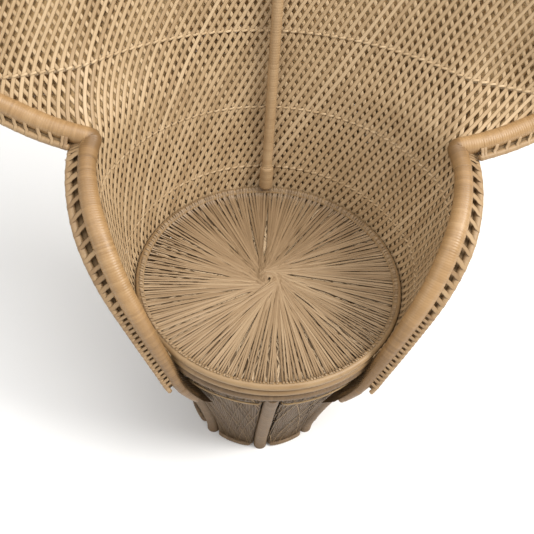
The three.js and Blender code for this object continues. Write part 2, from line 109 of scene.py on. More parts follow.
def fan_point(s, h):
    s, h = np.broadcast_arrays(np.asarray(s, float), np.asarray(h, float))
    r, tn, hd, bd = shell_radius(h), np.radians(shell_turn(h)), np.radians(wing_heading(h)), wing_bend(h)
    far = np.abs(s)
    a = np.minimum(far / r, tn)
    ex = np.maximum(far - r * tn, 0)
    bk = np.minimum(ex / bd, tn - hd)
    b = np.where(ex > 0, tn - bk, tn)
    on = ex - bk * bd
    x = r * np.sin(a) + bd * (np.sin(tn) - np.sin(b)) + on * np.cos(b)
    y = shell_back(h) - r + r * np.cos(a) + bd * (np.cos(tn) - np.cos(b)) - on * np.sin(b)
    return np.stack([np.sign(s) * x, y, SEAT_H + h], -1)


def tub_point(phi, h):
    phi, h = np.broadcast_arrays(np.asarray(phi, float), np.asarray(h, float))
    a, r = np.radians(phi), shell_radius(h)
    c = shell_back(h) - r
    ring = c * np.cos(a) + np.sqrt(r * r - c * c * np.sin(a) ** 2)
    p = np.clip(np.abs(phi), 76, 130)
    arm = SHELL_R + np.maximum(h, 0) * (arm_reach(p) - SHELL_R) / arm_height(p)
    w = smooth(66, 82, np.abs(phi))
    q = ring * (1 - w) + arm * w
    return np.stack([q * np.sin(a), q * np.cos(a), SEAT_H + h], -1)


# Distance around the tub from the back line, and its inverse, on a fine table.
_phi, _hs = np.linspace(0, 140, 281), np.linspace(-40, 266, 103)
_arc = np.zeros((len(_hs), len(_phi)))
for _i, _h in enumerate(_hs):
    _p = tub_point(_phi, np.full_like(_phi, _h))
    _arc[_i, 1:] = np.cumsum(np.linalg.norm(np.diff(_p, axis=0), axis=1))
_sg = np.linspace(0, float(_arc[:, -1].max()), 900)
_inv = np.stack([np.interp(_sg, a, _phi) for a in _arc])


def _bilinear(tab, i, j):
    i = np.clip(i, 0, tab.shape[0] - 1.001)
    j = np.clip(j, 0, tab.shape[1] - 1.001)
    a, b = i.astype(int), j.astype(int)
    u, v = i - a, j - b
    return (1 - u) * ((1 - v) * tab[a, b] + v * tab[a, b + 1]) + u * ((1 - v) * tab[a + 1, b] + v * tab[a + 1, b + 1])


def tub_arc(phi, h):
    phi, h = np.broadcast_arrays(np.asarray(phi, float), np.asarray(h, float))
    return np.sign(phi) * _bilinear(_arc, (h + 40) / 3.0, np.abs(phi) / 0.5)


def tub_phi(s, h):
    s, h = np.broadcast_arrays(np.asarray(s, float), np.asarray(h, float))
    return np.sign(s) * _bilinear(_inv, (h + 40) / 3.0, np.abs(s) / (_sg[1] - _sg[0]))


def shell(s, h):
    s, h = np.broadcast_arrays(np.asarray(s, float), np.asarray(h, float))
    low = (h < 249)[..., None]
    return np.where(low, tub_point(tub_phi(s, np.minimum(h, 262)), np.minimum(h, 262)), fan_point(s, np.maximum(h, 249)))


def shell_normal(s, h, e=4.0):
    n = unit(np.cross(shell(s, h + e) - shell(s, h - e), shell(s + e, h) - shell(s - e, h)))
    p = shell(s, h)
    return n * np.where(n[..., 0] * p[..., 0] + n[..., 1] * p[..., 1] < 0, -1.0, 1.0)[..., None]


def arm_axis(t):
    p = 76 + 70 * np.asarray(t, float)
    r = arm_reach(p)
    return np.stack([r * np.sin(np.radians(p)), r * np.cos(np.radians(p)), SEAT_H + arm_height(p)], -1)


def slope_of(f, t):
    t = np.asarray(t, float)
    return unit(f(np.minimum(1, t + 1e-3)) - f(np.maximum(0, t - 1e-3)))


def arm_out(t):
    p = 76 + 70 * np.asarray(t, float)
    d, a = np.radians(arm_droop(p)), np.radians(p)
    o = np.stack([np.sin(a) * np.cos(d), np.cos(a) * np.cos(d), -np.sin(d)], -1)
    g = slope_of(arm_axis, t)
    return unit(o - g * (o * g).sum(-1, keepdims=True))


_rows = FAN_RIM + [(-FAN_RIM[-2][0], FAN_RIM[-2][1])]
_len = np.concatenate([[0], np.cumsum([math.hypot(_rows[i + 1][0] - _rows[i][0], _rows[i + 1][1] - _rows[i][1]) for i in range(len(_rows) - 1)])])
_rx, _rh, _rend = table(list(zip(_len, [r[0] for r in _rows]))), table(list(zip(_len, [r[1] for r in _rows]))), _len[len(FAN_RIM) - 1]


def rim_sh(t):
    t = np.asarray(t, float)
    h, x = _rh(t * _rend), _rx(t * _rend)
    lo, hi = np.full_like(x, -50.0), np.full_like(x, 1000.0)
    for _ in range(48):
        mid = (lo + hi) / 2
        c = fan_point(mid, h)[..., 0] < x
        lo, hi = np.where(c, mid, lo), np.where(c, hi, mid)
    return (lo + hi) / 2, h


def fan_axis(t):
    return fan_point(*rim_sh(t))


def fan_out(t):
    s, h = rim_sh(t)
    g = slope_of(fan_axis, t)
    e = 0.5
    n = unit(np.cross(fan_point(s, h + e) - fan_point(s, h - e), fan_point(s + e, h) - fan_point(s - e, h)))
    o = unit(np.cross(g, n))
    m = fan_point(np.zeros_like(s), np.full_like(h, 620.0)) - fan_axis(t)
    return o * np.where((o * m).sum(-1) > 0, -1.0, 1.0)[..., None]


# Edge of the lattice in (s, h): arm roll centre line up to the notch, then the fan rim.
_ta = np.linspace(0, 1, 1601)
_t_end = float(np.interp(14, -arm_height(76 + 70 * _ta), _ta))
EDGE_ARM_T = np.linspace(_t_end, 0, 200)
_ea_h = arm_height(76 + 70 * EDGE_ARM_T)
_ea_s = tub_arc(76 + 70 * EDGE_ARM_T, np.minimum(_ea_h, 262))
EDGE_RIM_T = np.linspace(0, 1, 420)
_er_s, _er_h = rim_sh(EDGE_RIM_T)


def edge_s(h):
    low = np.interp(h, _ea_h, _ea_s)
    high = np.interp(h, _er_h, _er_s)
    k = np.clip((h - _ea_h[-1]) / (_er_h[0] - _ea_h[-1]), 0, 1)
    mid = _ea_s[-1] * (1 - k) + _er_s[0] * k
    return np.where(h <= _ea_h[-1], low, np.where(h >= _er_h[0], high, mid))


# ---------------------------------------------------------------- mesh makers
def strand(P, N, w, t, tone, ident, profile):
    """A flat cane strand swept along P; N is the way its face looks, w its width, t its thickness."""
    n, k = len(P), len(profile)
    T = unit(np.gradient(P, axis=0))
    B = unit(np.cross(N, T))
    F = np.cross(T, B)
    w = np.broadcast_to(np.asarray(w, float), (n,))
    t = np.broadcast_to(np.asarray(t, float), (n,))
    V = P[:, None, :] + (profile[None, :, 0] * w[:, None])[..., None] * B[:, None, :] + (profile[None, :, 1] * t[:, None])[..., None] * F[:, None, :]
    idx = np.arange(n * k).reshape(n, k)
    nxt = np.roll(idx, -1, axis=1)
    q = np.stack([idx[:-1], idx[1:], nxt[1:], nxt[:-1]], -1).reshape(-1, 4)
    a, z = idx[0], idx[-1]
    if k == 6:
        caps = np.array([[a[0], a[1], a[2], a[3]], [a[0], a[3], a[4], a[5]], [z[3], z[2], z[1], z[0]], [z[5], z[4], z[3], z[0]]])
    else:
        caps = np.array([[a[0], a[1], a[2], a[3]], [z[3], z[2], z[1], z[0]]])
    q = np.concatenate([q, caps])
    along = np.concatenate([[0], np.cumsum(np.linalg.norm(np.diff(P, axis=0), axis=1))]) * MM
    fib = np.zeros((n, k, 3))
    fib[..., 0] = along[:, None] + 0.37 * ident
    fib[..., 1] = profile[None, :, 0]
    fib[..., 2] = ident
    return {"v": V.reshape(-1, 3), "q": q, "t": np.zeros((0, 3), int), "tone": np.full(n * k, float(tone)), "fib": fib.reshape(-1, 3)}


FLAT6 = np.array([(-0.5, 0.0), (-0.3, 0.5), (0.3, 0.5), (0.5, 0.0), (0.3, -0.5), (-0.3, -0.5)])
FLAT4 = np.array([(-0.5, 0.0), (0.0, 0.5), (0.5, 0.0), (0.0, -0.5)])


def rings(P, R, sides, tone, fib_y, fib_z, closed=False, dome=(0.5, 0.5), start=None, ref_radius=None):
    """A round body through the ring centres P with radii R; tone and fibre values are given per ring."""
    P = np.asarray(P, float)
    n = len(P)
    if closed:
        T = unit(np.roll(P, -1, 0) - np.roll(P, 1, 0))
    else:
        T = unit(np.gradient(P, axis=0))
    R = np.broadcast_to(np.asarray(R, float), (n,)).copy()
    tone, fib_y, fib_z = (np.broadcast_to(np.asarray(a, float), (n,)).copy() for a in (tone, fib_y, fib_z))
    if not closed:
        fr = np.radians([75, 50, 25])
        for end, (i, sgn) in enumerate(((0, -1), (n - 1, 1))):
            d = dome[end]
            if d <= 0:
                continue
            c = P[i] + sgn * T[i] * (R[i] * d * np.sin(fr))[:, None]
            rr = R[i] * np.cos(fr)
            ex = [np.tile(T[i], (3, 1)), np.full(3, tone[i]), np.full(3, fib_y[i]), np.full(3, fib_z[i])]
            if end == 0:
                P, R, T = np.concatenate([c, P]), np.concatenate([rr, R]), np.concatenate([ex[0], T])
                tone, fib_y, fib_z = np.concatenate([ex[1], tone]), np.concatenate([ex[2], fib_y]), np.concatenate([ex[3], fib_z])
                n = len(P)
            else:
                P, R, T = np.concatenate([P, c[::-1]]), np.concatenate([R, rr[::-1]]), np.concatenate([T, ex[0]])
                tone, fib_y, fib_z = np.concatenate([tone, ex[1]]), np.concatenate([fib_y, ex[2]]), np.concatenate([fib_z, ex[3]])
        n = len(P)
    N = np.zeros((n, 3))
    ref = np.array([0, 0, 1.0]) if start is None else np.asarray(start, float)
    if abs(T[0] @ ref) > 0.95:
        ref = np.array([1.0, 0, 0])
    prev = ref
    for i in range(n):
        v = prev - T[i] * (prev @ T[i])
        prev = v / np.linalg.norm(v)
        N[i] = prev
    B = np.cross(T, N)
    th = np.linspace(0, 2 * np.pi, sides, endpoint=False)
    V = P[:, None, :] + R[:, None, None] * (np.cos(th)[None, :, None] * N[:, None, :] + np.sin(th)[None, :, None] * B[:, None, :])
    idx = np.arange(n * sides).reshape(n, sides)
    if closed:
        idx = np.concatenate([idx, idx[:1]])
    nxt = np.roll(idx, -1, axis=1)
    q = np.stack([idx[:-1], nxt[:-1], nxt[1:], idx[1:]], -1).reshape(-1, 4)
    V = V.reshape(-1, 3)
    fib = np.zeros((n, sides, 3))
    fib[..., 0] = (th[None, :] - np.pi) * (np.mean(R) if ref_radius is None else ref_radius) * MM + 0.61 * fib_z[:, None]
    fib[..., 1] = fib_y[:, None]
    fib[..., 2] = fib_z[:, None]
    fib = fib.reshape(-1, 3)
    tn = np.repeat(tone, sides)
    tris = np.zeros((0, 3), int)
    if not closed:
        V = np.concatenate([V, P[:1], P[-1:]])
        fib = np.concatenate([fib, fib[:1], fib[-1:]])
        tn = np.concatenate([tn, tone[:1], tone[-1:]])
        a, z = len(V) - 2, len(V) - 1
        tris = np.concatenate([
            np.stack([np.full(sides, a), np.roll(idx[0], -1), idx[0]], -1),
            np.stack([np.full(sides, z), idx[-1], np.roll(idx[-1], -1)], -1)])
    return {"v": V, "q": q, "t": tris, "tone": tn, "fib": fib}


def even(f, a, b, step, fine=3000):
    """Points of f between parameters a and b at an even spacing close to step; returns parameters and length."""
    t = np.linspace(a, b, fine)
    d = np.concatenate([[0], np.cumsum(np.linalg.norm(np.diff(f(t), axis=0), axis=1))])
    n = max(2, int(round(d[-1] / step)))
    return np.interp(np.linspace(0, d[-1], n + 1), d, t), d[-1]


WRAP = np.array([0.0, 0.75, 1.0, 0.75])


def wrapped(f, a, b, radius, pitch, depth, sides, tone=0.5, spread=0.16, dome=(0.5, 0.5), seed=0, drift=0.0):
    """A rod wound closely with cane: each turn is a low ridge with its own shade."""
    g = np.random.default_rng(seed)
    t, length = even(f, a, b, pitch / 4)
    P = f(t)
    k = np.arange(len(t))
    R = (radius(t) if callable(radius) else np.full(len(t), float(radius))) + depth * (WRAP[k % 4] - 0.5)
    turns = k // 4
    shade = tone + spread * g.standard_normal(turns.max() + 1) * 0.6
    slow = np.interp(turns, np.arange(0, turns.max() + 12, 11), g.standard_normal(len(np.arange(0, turns.max() + 12, 11))))
    return rings(P, R, sides, shade[turns] + drift * slow, (k % 4) / 4.0 - 0.5 + 0.125, turns * 1.0, dome=dome)


def hoop_ring(radius, half, z, wraps, depth, sides, tone, spread, seed, shift=0.0):
    g = np.random.default_rng(seed)
    k = np.arange(wraps * 4)
    a = 2 * np.pi * k / len(k)
    P = np.stack([radius * np.sin(a), -radius * np.cos(a) + shift, np.full(len(k), z)], -1)
    R = half + depth * (WRAP[k % 4] - 0.5)
    shade = tone + spread * g.standard_normal(wraps) * 0.6
    return rings(P, R, sides, shade[k // 4], (k % 4) / 4.0 - 0.375, (k // 4) * 1.0, closed=True)


def bare_ring(radius, half, z, segs, sides, tone, seed, shift=0.0, wobble=0.5, knots=9):
    """An unwrapped rattan hoop: slightly uneven, with a few low joints along it."""
    g = np.random.default_rng(seed)
    k = np.arange(segs)
    a = 2 * np.pi * k / segs
    wave = sum(g.standard_normal() * np.sin(m * a + g.uniform(0, 6.3)) / m for m in range(2, 7))
    R = half + 0.12 * wave
    knot = np.sort(g.uniform(0, 2 * np.pi, knots))
    near = np.min(np.abs((a[:, None] - knot[None, :] + np.pi) % (2 * np.pi) - np.pi), axis=1) * radius
    R = R + 0.45 * np.exp(-(near / 3.0) ** 2)
    P = np.stack([(radius + wobble * 0.3 * wave) * np.sin(a), -(radius + wobble * 0.3 * wave) * np.cos(a) + shift, z + wobble * 0.2 * np.roll(wave, segs // 5)], -1)
    c = rings(P, R, sides, tone - 0.25 * np.exp(-(near / 2.0) ** 2), 0.0, 0.0, closed=True)
    c["fib"] = np.stack([np.repeat(a * radius * MM, sides), np.tile(np.linspace(-0.32, 0.32, sides), segs), np.full(segs * sides, float(seed))], -1)
    return c


def mirror(c):
    v = c["v"].copy()
    v[:, 0] *= -1
    return {"v": v, "q": c["q"][:, ::-1], "t": c["t"][:, ::-1], "tone": c["tone"], "fib": c["fib"]}


PIECES = []


def make(name, chunks, material, nodes):
    V = np.concatenate([c["v"] for c in chunks]) * MM
    V[:, 1] += SHIFT_Y
    base, qs, ts = 0, [], []
    for c in chunks:
        qs.append(c["q"] + base)
        ts.append(c["t"] + base)
        base += len(c["v"])
    Q, T = np.concatenate(qs), np.concatenate(ts)
    mesh = bpy.data.meshes.new(name)
    mesh.vertices.add(len(V))
    mesh.vertices.foreach_set("co", V.astype(np.float32).ravel())
    loops = np.concatenate([Q.ravel(), T.ravel()]).astype(np.int32)
    mesh.loops.add(len(loops))
    mesh.loops.foreach_set("vertex_index", loops)
    starts = np.concatenate([np.arange(len(Q)) * 4, len(Q) * 4 + np.arange(len(T)) * 3]).astype(np.int32)
    mesh.polygons.add(len(starts))
    mesh.polygons.foreach_set("loop_start", starts)
    mesh.polygons.foreach_set("use_smooth", np.ones(len(starts), bool))
    mesh.update(calc_edges=True)
    mesh.attributes.new("tone", "FLOAT", "POINT").data.foreach_set("value", np.concatenate([c["tone"] for c in chunks]).astype(np.float32))
    mesh.attributes.new("fibre", "FLOAT_VECTOR", "POINT").data.foreach_set("vector", np.concatenate([c["fib"] for c in chunks]).astype(np.float32).ravel())
    mesh.validate()
    mesh.materials.append(material)
    o = bpy.data.objects.new(name, mesh)
    bpy.context.scene.collection.objects.link(o)
    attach(o, "root")
    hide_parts(*nodes)
    PIECES.append(o)
    return o


# ------------------------------------------------------------------ materials
def cane_material(name, dark, mid, light, rough=(0.42, 0.62), streak=0.5, blotch=0.35, edge=0.35, bump=0.35, spec=0.4, coat=0.0, grain=(38.0, 7.0, 2.7)):
    m = bpy.data.materials.new(name)
    m.use_nodes = True
    nt = m.node_tree
    N, L = nt.nodes, nt.links
    N.clear()
    out = N.new("ShaderNodeOutputMaterial")
    b = N.new("ShaderNodeBsdfPrincipled")
    L.new(b.outputs["BSDF"], out.inputs["Surface"])
    b.inputs["Specular IOR Level"].default_value = spec
    b.inputs["Coat Weight"].default_value = coat
    b.inputs["Coat Roughness"].default_value = 0.35

    def math_node(op, x, y=None, clamp=False):
        n = N.new("ShaderNodeMath")
        n.operation = op
        n.use_clamp = clamp
        for i, v in enumerate((x, y)):
            if v is None:
                continue
            if isinstance(v, (int, float)):
                n.inputs[i].default_value = v
            else:
                L.new(v, n.inputs[i])
        return n.outputs[0]

    def attribute(which):
        n = N.new("ShaderNodeAttribute")
        n.attribute_name = which
        return n

    tone = attribute("tone").outputs["Fac"]
    fib = attribute("fibre").outputs["Vector"]
    sep = N.new("ShaderNodeSeparateXYZ")
    L.new(fib, sep.inputs[0])

    def noise(vector, scale, detail, rough_, stretch=None):
        if stretch is not None:
            s = N.new("ShaderNodeVectorMath")
            s.operation = "MULTIPLY"
            L.new(vector, s.inputs[0])
            s.inputs[1].default_value = stretch
            vector = s.outputs[0]
        n = N.new("ShaderNodeTexNoise")
        L.new(vector, n.inputs["Vector"])
        n.inputs["Scale"].default_value = scale
        n.inputs["Detail"].default_value = detail
        n.inputs["Roughness"].default_value = rough_
        return n.outputs["Fac"]

    co = N.new("ShaderNodeTexCoord").outputs["Object"]
    fine = noise(fib, 1.0, 4.0, 0.6, grain)
    patch = noise(co, 11.0, 3.0, 0.55)
    speck = noise(fib, 1.0, 2.0, 0.5, (130.0, 3.0, 5.1))
    a = math_node("MULTIPLY", math_node("SUBTRACT", fine, 0.5), streak)
    c = math_node("MULTIPLY", math_node("SUBTRACT", patch, 0.5), blotch)
    fac = math_node("ADD", math_node("ADD", tone, a), c, clamp=True)
    ramp = N.new("ShaderNodeValToRGB")
    L.new(fac, ramp.inputs["Fac"])
    e = ramp.color_ramp.elements
    e[0].position, e[0].color = 0.0, (*dark, 1)
    e[1].position, e[1].color = 1.0, (*light, 1)
    k = e.new(0.5)
    k.color = (*mid, 1)
    # Painted shade: brown along the strand's two edges, where a rounded strand turns from the light, and in the
    # grooves between wound turns. The short stains across it are the cane's own marks.
    side = N.new("ShaderNodeMapRange")
    L.new(math_node("ABSOLUTE", sep.outputs["Y"]), side.inputs["Value"])
    side.inputs["From Min"].default_value, side.inputs["From Max"].default_value = 0.28, 0.52
    side.inputs["To Min"].default_value, side.inputs["To Max"].default_value = 0.0, edge
    stain = N.new("ShaderNodeMapRange")
    L.new(speck, stain.inputs["Value"])
    stain.inputs["From Min"].default_value, stain.inputs["From Max"].default_value = 0.62, 0.80
    stain.inputs["To Min"].default_value, stain.inputs["To Max"].default_value = 0.0, 0.35
    shade = math_node("MAXIMUM", side.outputs[0], stain.outputs[0])
    mix = N.new("ShaderNodeMix")
    mix.data_type = "RGBA"
    mix.blend_type = "MULTIPLY"
    L.new(shade, mix.inputs["Factor"])
    L.new(ramp.outputs["Color"], mix.inputs[6])
    mix.inputs[7].default_value = (0.55, 0.40, 0.26, 1)
    L.new(mix.outputs[2], b.inputs["Base Color"])
    rg = N.new("ShaderNodeMapRange")
    L.new(fine, rg.inputs["Value"])
    rg.inputs["From Min"].default_value, rg.inputs["From Max"].default_value = 0.3, 0.7
    rg.inputs["To Min"].default_value, rg.inputs["To Max"].default_value = rough
    L.new(rg.outputs[0], b.inputs["Roughness"])
    bp = N.new("ShaderNodeBump")
    bp.inputs["Strength"].default_value = bump
    bp.inputs["Distance"].default_value = 0.0004
    L.new(fine, bp.inputs["Height"])
    L.new(bp.outputs[0], b.inputs["Normal"])
    return m


# The edge value of each material sets how strongly that painted shade darkens strand edges and wrap grooves.
LATTICE = cane_material("lattice_cane", (0.275, 0.176, 0.088), (0.415, 0.287, 0.157), (0.55, 0.405, 0.245), streak=0.35, blotch=0.3, edge=0.08, bump=0.25)
# The outer weave is paler than the front cane: painted light, so the holes of the lattice in front of it look less
# dark.
OUTER = cane_material("outer_cane", (0.46, 0.30, 0.135), (0.66, 0.455, 0.225), (0.78, 0.58, 0.32), rough=(0.55, 0.75), spec=0.25)
ROLL = cane_material("roll_wrap", (0.175, 0.098, 0.038), (0.315, 0.186, 0.078), (0.42, 0.272, 0.136), rough=(0.36, 0.52), streak=0.3, blotch=0.35, edge=0.2, bump=0.25, spec=0.5, coat=0.08)
POLE = cane_material("pole_wrap", (0.24, 0.145, 0.068), (0.355, 0.232, 0.120), (0.46, 0.33, 0.19), rough=(0.40, 0.56), streak=0.35, blotch=0.3, edge=0.25, bump=0.3, spec=0.4)
EDGE = cane_material("border_cane", (0.21, 0.125, 0.058), (0.315, 0.205, 0.104), (0.43, 0.305, 0.175), rough=(0.40, 0.58), streak=0.35, edge=0.25, spec=0.4)
BIND = cane_material("binding_cane", (0.150, 0.092, 0.041), (0.245, 0.162, 0.078), (0.34, 0.24, 0.132), rough=(0.42, 0.6), streak=0.35, edge=0.3)
HOOP = cane_material("rattan_hoop", (0.162, 0.094, 0.039), (0.258, 0.161, 0.075), (0.364, 0.249, 0.132), rough=(0.38, 0.56), edge=0.2, spec=0.4)
SEAT = cane_material("seat_cane", (0.160, 0.101, 0.050), (0.262, 0.175, 0.096), (0.375, 0.268, 0.160), rough=(0.40, 0.58), edge=0.3)
SEAT_UNDER = cane_material("seat_under_cane", (0.175, 0.111, 0.056), (0.310, 0.210, 0.117), (0.43, 0.312, 0.190), rough=(0.45, 0.62), edge=0.15)
# Dark brown for the strips behind the border holes: painted shade, darker than the cane itself, standing for the shade
# inside the holes.
SHADE = cane_material("border_backing_painted_shade", (0.10, 0.062, 0.028), (0.17, 0.108, 0.052), (0.24, 0.16, 0.085), rough=(0.6, 0.8), spec=0.2)
BASE = cane_material("base_cane", (0.079, 0.045, 0.018), (0.150, 0.090, 0.038), (0.345, 0.228, 0.110), rough=(0.5, 0.7), edge=0.3)
POST = cane_material("post_wrap", (0.103, 0.062, 0.030), (0.161, 0.100, 0.050), (0.235, 0.154, 0.082), rough=(0.45, 0.62), streak=0.35, edge=0.3)


# -------------------------------------------------------------- back lattice
def runs(inside):
    """First and last index of each stretch of True values."""
    d = np.diff(np.concatenate([[0], inside.astype(int), [0]]))
    return list(zip(np.where(d == 1)[0], np.where(d == -1)[0] - 1))


def lattice(pitch, lean, low, step, place_fn, width_fn, thick, lay, profile, seed, tone, spread, phase=0.0):
    """Two crossing families of strands on the (s, h) sheet, the rising one laid over the falling one."""
    g = np.random.default_rng(seed)
    out = {(f, k): [] for f in "ab" for k in (1, -1)}
    h_all = np.arange(low, 1020.0, 1.0)
    count = int(math.ceil((650 + lean * 1060) / pitch))
    for f, sg in (("a", 1.0), ("b", -1.0)):
        for i in range(-count, count + 1):
            s0 = (i + phase) * pitch
            jit = g.normal(0, 0.35)
            shade = tone + spread * float(np.clip(g.standard_normal(), -2, 2))
            s_all = s0 + sg * lean * h_all
            for a, b in runs(np.abs(s_all) < edge_s(h_all)):
                if h_all[b] - h_all[a] < 12:
                    continue
                lo, hi = h_all[a], h_all[b]
                mid = np.arange(math.ceil((lo + 1.5) / step), math.floor((hi - 1.5) / step) + 1) * step
                h = np.concatenate([[lo], mid, [hi]])
                s = s0 + sg * lean * h + jit * np.sin(h / 90.0 + i)
                off = np.full_like(h, -sg * lay)
                P, N = place_fn(s, h, off)
                w = width_fn(s, h)
                out[(f, 1 if s.mean() >= 0 else -1)].append(strand(P, -N, w, thick, shade, (i + 500) * 1.0 + (0.5 if sg < 0 else 0.0), profile))
    return out


def inner_place(s, h, off):
    n = shell_normal(s, h)
    return shell(s, h) + n * (off - 4.4 * smooth(14, -12, h))[:, None], n


def inner_width(s, h):
    w = np.interp(h, [-20, 60, 220, 300, 420, 1020], [9.2, 9.2, 8.7, 7.8, 7.1, 6.9])
    return w - 0.6 * smooth(330, 470, np.abs(s))


RIGHT = ("back_weave_right", "arm_weave_right", "fan_weave_center_right", "fan_weave_wing_right")
LEFT = tuple(n.replace("right", "left") for n in RIGHT)
inner = lattice(16.0, 0.571, -28.0, 16.0 / 0.571 / 4, inner_place, inner_width, 0.9, 0.48, FLAT6, 11, 0.5, 0.15)
for (fam, k), chunks in inner.items():
    make(f"back_lattice_{'rising' if fam == 'a' else 'falling'}_{'right' if k > 0 else 'left'}", chunks, LATTICE, RIGHT if k > 0 else LEFT)

# The outer weave lies behind the ribs and turns out to the border hoop along the edges.
OUTER_GAP = 19.4
outer_draw = table([(-40, -1.5), (-14, 6), (34, OUTER_GAP)])
_edge_s = np.concatenate([_ea_s, _er_s])
_edge_h = np.concatenate([_ea_h, _er_h])
_edge_v = np.concatenate([arm_out(EDGE_ARM_T) * (arm_border(EDGE_ARM_T) - 2.5)[:, None], fan_out(EDGE_RIM_T) * (FAN_BORDER - 2.5)])
_kern = np.exp(-np.linspace(-2, 2, 25) ** 2)
_kern /= _kern.sum()
_edge_v = np.stack([np.convolve(np.pad(_edge_v[:, c], 12, mode="edge"), _kern, mode="valid") for c in range(3)], -1)


def edge_blend(s, h):
    """How far a place of the outer weave has turned out to the border hoop, and the nearest edge sample."""
    a = np.abs(s)
    d2 = (a[:, None] - _edge_s[None, :]) ** 2 + (h[:, None] - _edge_h[None, :]) ** 2
    j = d2.argmin(axis=1)
    # In the corner of the notch the weave stays behind the bound elbow.
    corner = np.exp(-((a - _ea_s[-1]) ** 2 + (h - 261.0) ** 2) / 26.0 ** 2)
    near = 1 - smooth(0, 62, np.sqrt(d2[np.arange(len(j)), j]))
    return near * (1 - 0.75 * corner), j, near


def outer_place(s, h, off):
    n = shell_normal(s, h)
    w, j, _ = edge_blend(s, h)
    v = _edge_v[j] * np.stack([np.sign(s), np.ones_like(s), np.ones_like(s)], -1)
    gap = np.where(h < 40, outer_draw(h), OUTER_GAP)
    p = shell(s, h) + n * (gap * (1 - w) + off)[:, None] + v * w[:, None]
    return p, n


def outer_width(s, h):
    b = edge_blend(s, h)[2]
    return 13.4 + 5.5 * b - 10.0 * smooth(0.78, 1.0, b)


outer = lattice(15.0, 0.571, -38.0, 15.0 / 0.571 / 4, outer_place, outer_width, 1.0, 0.52, FLAT4, 12, 0.45, 0.14, phase=0.35)
for k, side in ((1, "right"), (-1, "left")):
    # Flat cane along the weave's foot, where it stands off the hoops beside the arm.
    turn = np.radians(np.linspace(60, 106, 32))
    foot_w = np.interp(np.degrees(turn), [60, 66, 86, 106], [8, 17, 15, 4])
    foot_r = 256.0 + foot_w / 2
    foot = strand(np.stack([k * foot_r * np.sin(turn), -foot_r * np.cos(turn), np.full_like(turn, 366.0)], -1), np.tile([0, 0, 1.0], (32, 1)), foot_w, 1.0, 0.3, 2900.0 + k, FLAT4)
    make(f"outer_lattice_{side}", outer[("a", k)] + outer[("b", k)] + [foot], OUTER, (f"tub_outer_weave_{side}", f"fan_outer_weave_{side}"))


# ---------------------------------------------------------------- back frame
def pole_axis(t):
    h = 4 + (1020 - FAN_ROLL_R - 8 - 4) * np.asarray(t, float)
    z = np.zeros_like(h)
    e = 0.5
    n = unit(np.cross(fan_point(z, h + e) - fan_point(z, h - e), fan_point(z + e, h) - fan_point(z - e, h)))
    n = n * np.where(n[..., 1] < 0, -1.0, 1.0)[..., None]
    return fan_point(z, h) - n * (2 + 5 + POLE_R)


make("back_pole_wrap", [wrapped(pole_axis, 0, 1, POLE_R - 0.2, 5.2, 0.5, 20, 0.5, 0.12, seed=21, drift=0.05)], POLE, ("back_center_pole",))


def foot_radius(t):
    u = (np.asarray(t) - 0.002) / 0.05
    return POLE_R + 3.3 * np.clip(np.minimum(u / 0.12 + 0.55, (1 - u) / 0.16 + 0.35), 0, 1)


make("pole_foot_wrap", [wrapped(pole_axis, 0.002, 0.052, foot_radius, 4.6, 0.6, 22, 0.40, 0.14, seed=22)], POLE, ("pole_foot_binding",))

for i, h0 in enumerate(RIB_HEIGHTS):
    end = float(edge_s(np.array([h0]))[0]) - 6.0

    def rib(t, h0=h0, end=end):
        s = end * (2 * np.asarray(t, float) - 1)
        h = np.full_like(s, h0)
        return shell(s, h) + shell_normal(s, h) * 6.9

    g = np.random.default_rng(35 + i)
    ties = []
    for s0 in np.arange(-end + 8.0, end - 20.0, 15.5):
        ts = s0 + np.linspace(0, 12.5, 5)
        th = np.full_like(ts, h0) + np.linspace(-1.2, 1.2, 5)
        tn = shell_normal(ts, th)
        ties.append(strand(shell(ts, th) - tn * np.array([0.4, 1.7, 1.9, 1.7, 0.4])[:, None], -tn, 4.6, 0.8, 0.72 + 0.12 * float(np.clip(g.standard_normal(), -2, 2)), 700.0 + s0, FLAT6))
    # Painted light: the rib wraps get a tone near the palest of the lattice cane, so the ribs read light behind the
    # lattice although they lie in its shade.
    make(f"back_rib_wrap_{i + 1}", [wrapped(rib, 0, 1, 5.2, 8.0, 0.5, 10, 0.95, 0.1, seed=30 + i)] + ties, LATTICE, (f"back_rib_{i + 1}",))


# ------------------------------------------------------------- rolls, borders
def arm_radius(t):
    return arm_taper(t) - 0.2


def fan_radius(t):
    return np.interp(t, [0, 0.05, 0.2, 1.0], [17.2, 17.2, 16.6, 15.8])


def fan_border(t):
    return np.full_like(np.asarray(t, float), FAN_BORDER)


def offset(axis, out, d):
    return lambda t: axis(t) + out(t) * d(t)[:, None]


def arm_hoop(t):
    return 7.0 - 2.7 * smooth(0.5, 0.85, t)


def fan_hoop(t):
    return 5.8 + 0.0 * np.asarray(t, float)


